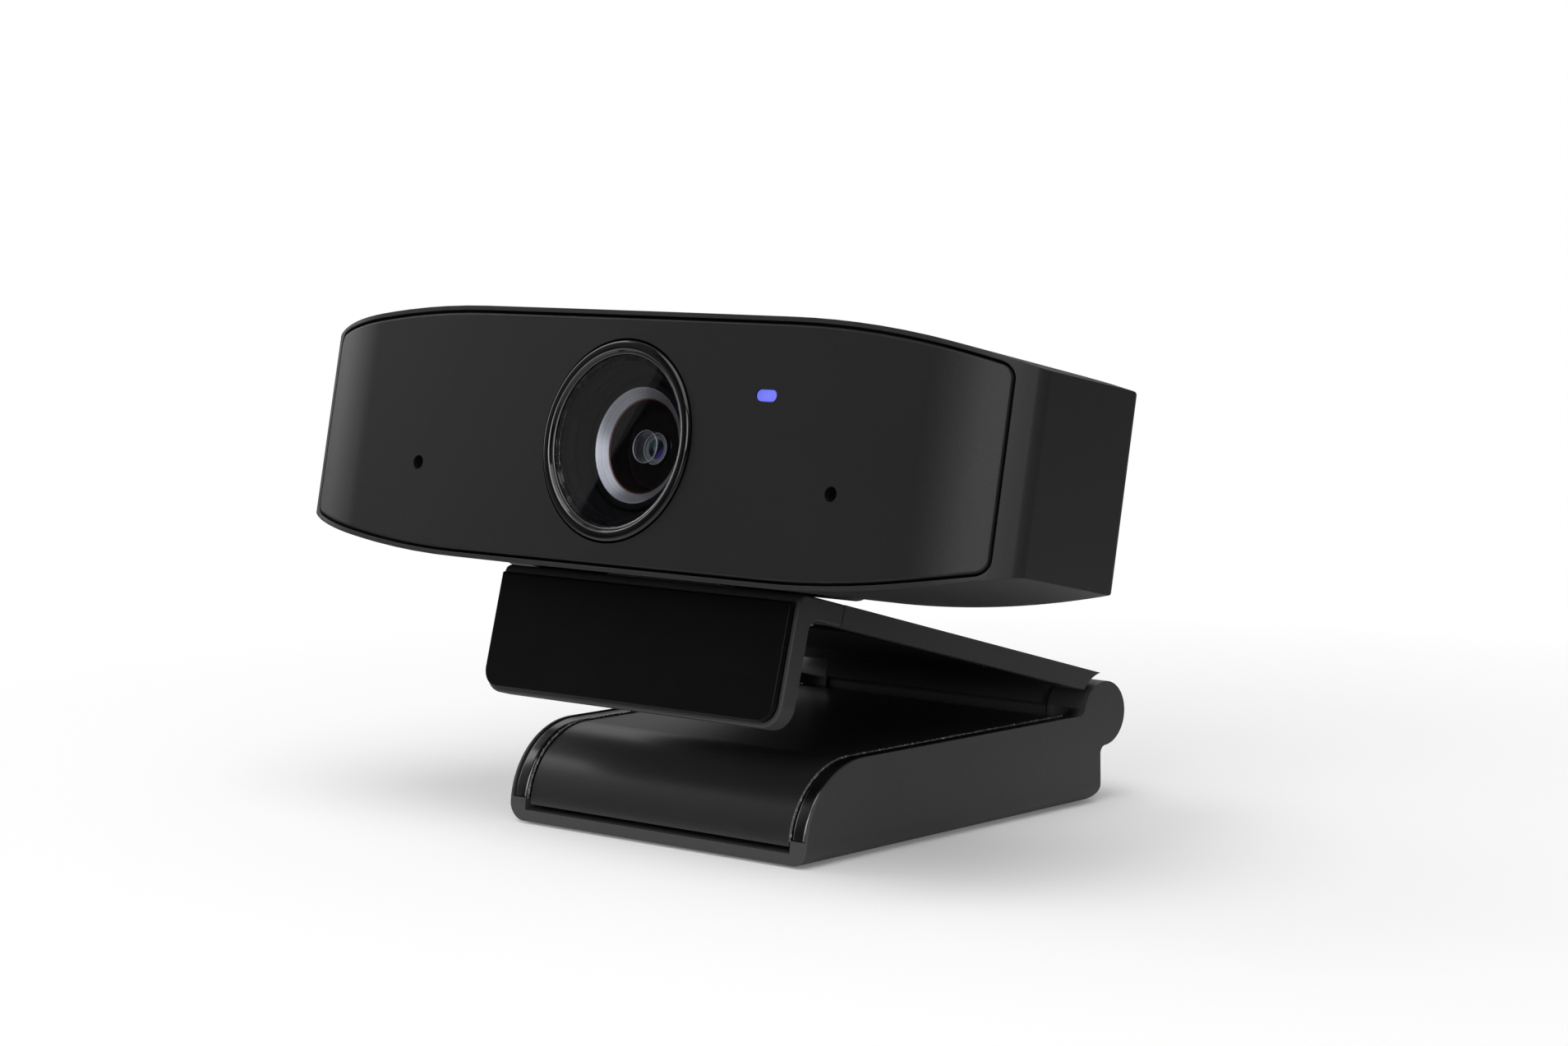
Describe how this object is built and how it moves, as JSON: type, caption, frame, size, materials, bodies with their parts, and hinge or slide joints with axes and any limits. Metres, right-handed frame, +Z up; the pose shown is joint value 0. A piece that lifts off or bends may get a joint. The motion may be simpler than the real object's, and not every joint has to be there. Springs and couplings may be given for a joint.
{
  "type": "webcam on folding clip stand",
  "caption": "Wide webcam head with round lens, status light and microphone holes, tilting on a folding clip that hooks over a screen or stands on a table",
  "frame": {"origin": "middle of the leg's rubber foot, on the table", "axes": "+Z up, the lens looks towards -Y and +X is the viewer's right"},
  "size_m": [0.1054, 0.0623, 0.0582],
  "materials": {
    "panel_satin": "fine satin grain, near black",
    "shell_satin": "satin moulded, near black",
    "gloss_black": "polished black",
    "clear_glass": "clear, thin coating",
    "lens_black": "black anodised with a bright bevel",
    "dark_liner": "dull black",
    "light_blue": "blue-violet light pipe, clear",
    "steel": "plain steel",
    "tin": "tin plated",
    "brass": "plain brass",
    "rubber": "dull rubber",
    "board": "green solder mask",
    "chip": "dark chip",
    "trim_gloss": "polished black bead",
    "leg_satin": "satin moulded, near black"
  },
  "bodies": {
    "leg": {"leg_tray": "leg_satin", "leg_cover": "leg_satin", "cover_trim": "trim_gloss", "hinge_pin": "steel", "hinge_spring": "steel", "hinge_washers": "steel", "foot_pad": "rubber", "tripod_insert": "brass", "cover_screws": "steel"},
    "arm": {"arm": "shell_satin", "lip_bracket": "shell_satin", "lip_face": "gloss_black", "lip_pad": "rubber", "arm_pad": "rubber", "arm_screws": "steel", "neck_bracket": "steel", "neck_screws": "steel", "tilt_pin": "steel", "tilt_washers": "steel"},
    "head": {"rear_housing": "shell_satin", "front_panel": "panel_satin", "lens_ring": "gloss_black", "lens_window": "clear_glass", "lens_shroud": "dark_liner", "lens_barrel": "lens_black", "front_element": "clear_glass", "rear_element": "clear_glass", "lens_holder": "dark_liner", "ir_filter": "clear_glass", "image_sensor": "chip", "sensor_board": "board", "board_link": "dark_liner", "main_board": "board", "shield_can": "tin", "usb_socket": "tin", "microphone_left": "board", "microphone_right": "board", "mic_gasket_left": "rubber", "mic_gasket_right": "rubber", "light_pipe": "light_blue", "led": "light_blue", "led_board": "board", "case_screws": "steel", "board_screws": "steel", "tilt_knuckle": "steel", "tilt_knuckle_screws": "steel"}
  },
  "joints": [
    {"name": "leg_fold", "type": "hinge", "parent": "leg", "child": "arm", "pos_m": [0, 0.0259, 0.01025], "axis": [-1, 0, 0], "range_deg": [-15.5, 95]},
    {"name": "head_tilt", "type": "hinge", "parent": "arm", "child": "head", "pos_m": [0, -0.01984, 0.03108], "axis": [-1, 0, 0], "range_deg": [-14, 11]}
  ]
}
